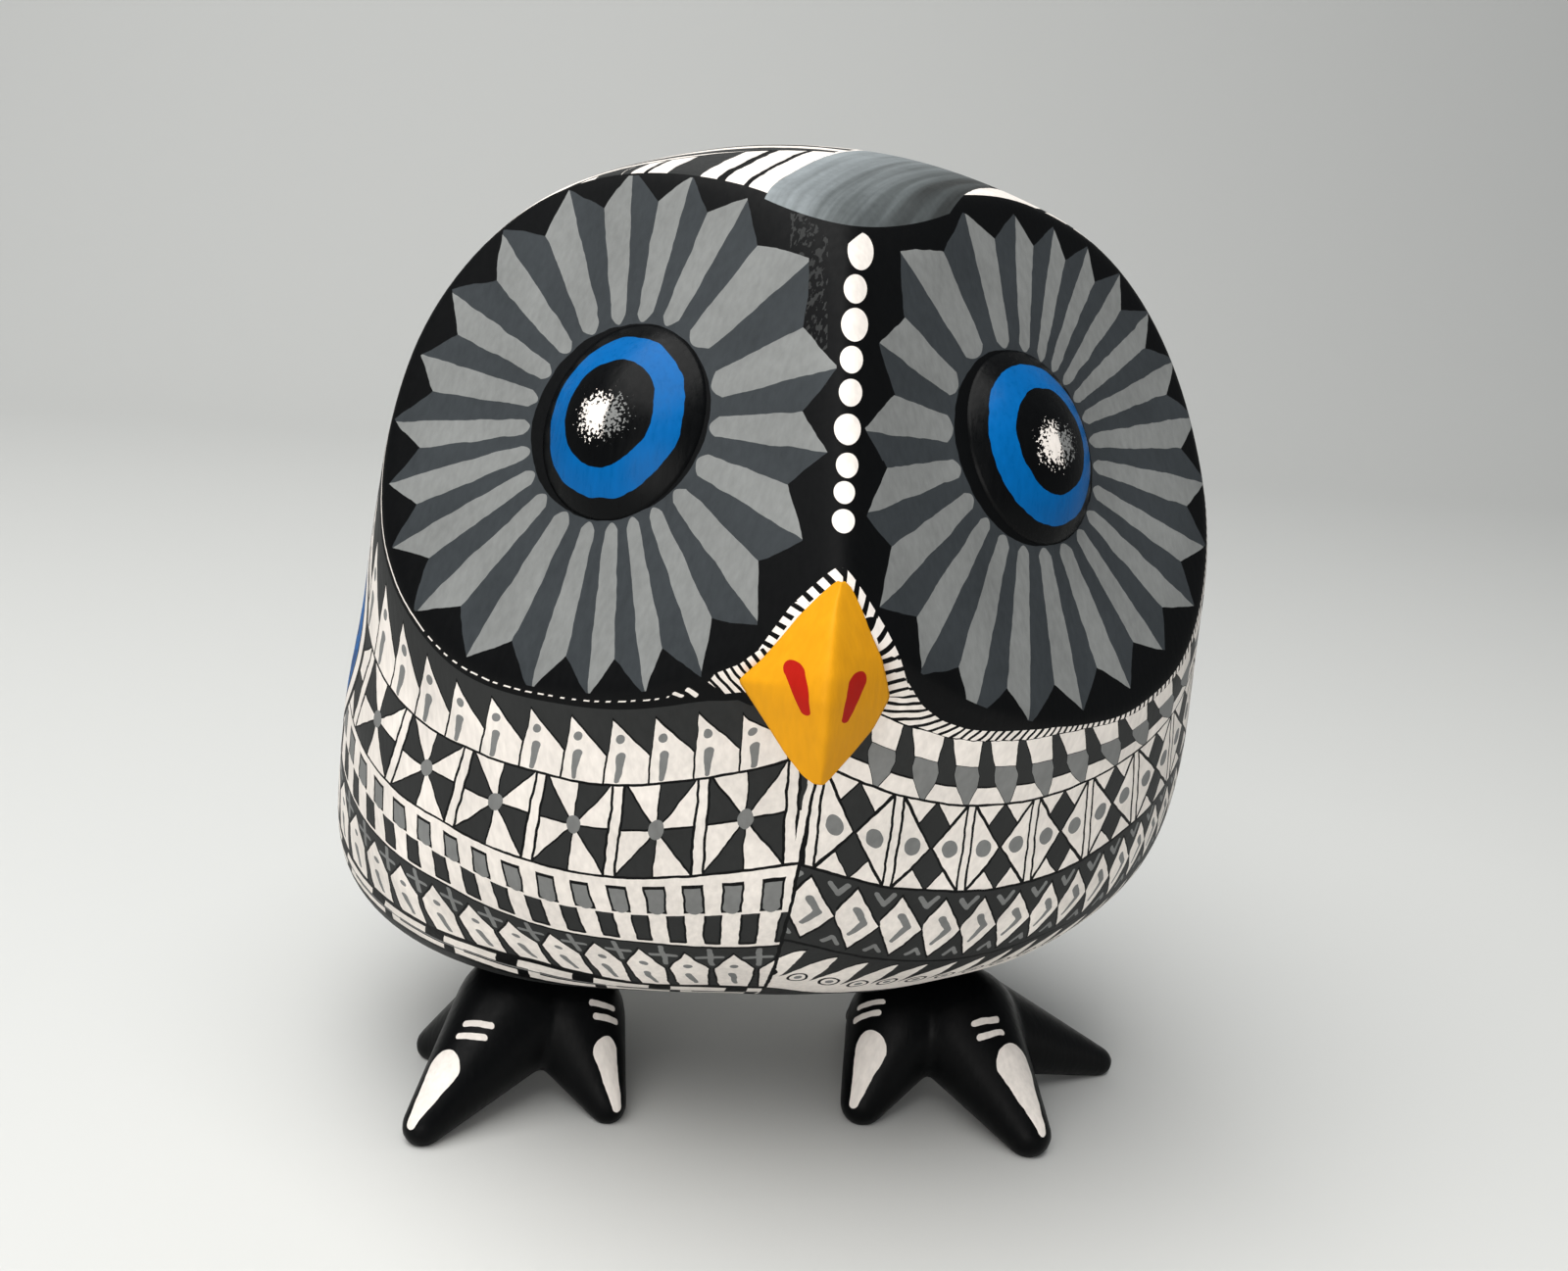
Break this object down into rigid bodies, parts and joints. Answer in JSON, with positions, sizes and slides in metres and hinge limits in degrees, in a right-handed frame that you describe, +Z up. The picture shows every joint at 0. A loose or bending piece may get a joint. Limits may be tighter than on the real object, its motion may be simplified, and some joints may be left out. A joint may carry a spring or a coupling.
{
  "type": "carved owl figure",
  "caption": "Small carved and painted wooden owl with two flat face discs that meet in a ridge, domed eyes, a keeled beak, a rounded body and toed feet.",
  "frame": {"origin": "middle of the footprint, on the surface that the soles stand on", "axes": "+Z up, the owl looks along -Y, and +X is to the right of someone who faces it"},
  "size_m": [0.1054, 0.1041, 0.1179],
  "materials": {
    "painted_wood": "satin acrylic paint on wood: white, greys and black, with blue eyes and a yellow beak"
  },
  "bodies": {
    "root": {"owl": "painted_wood"}
  },
  "joints": []
}
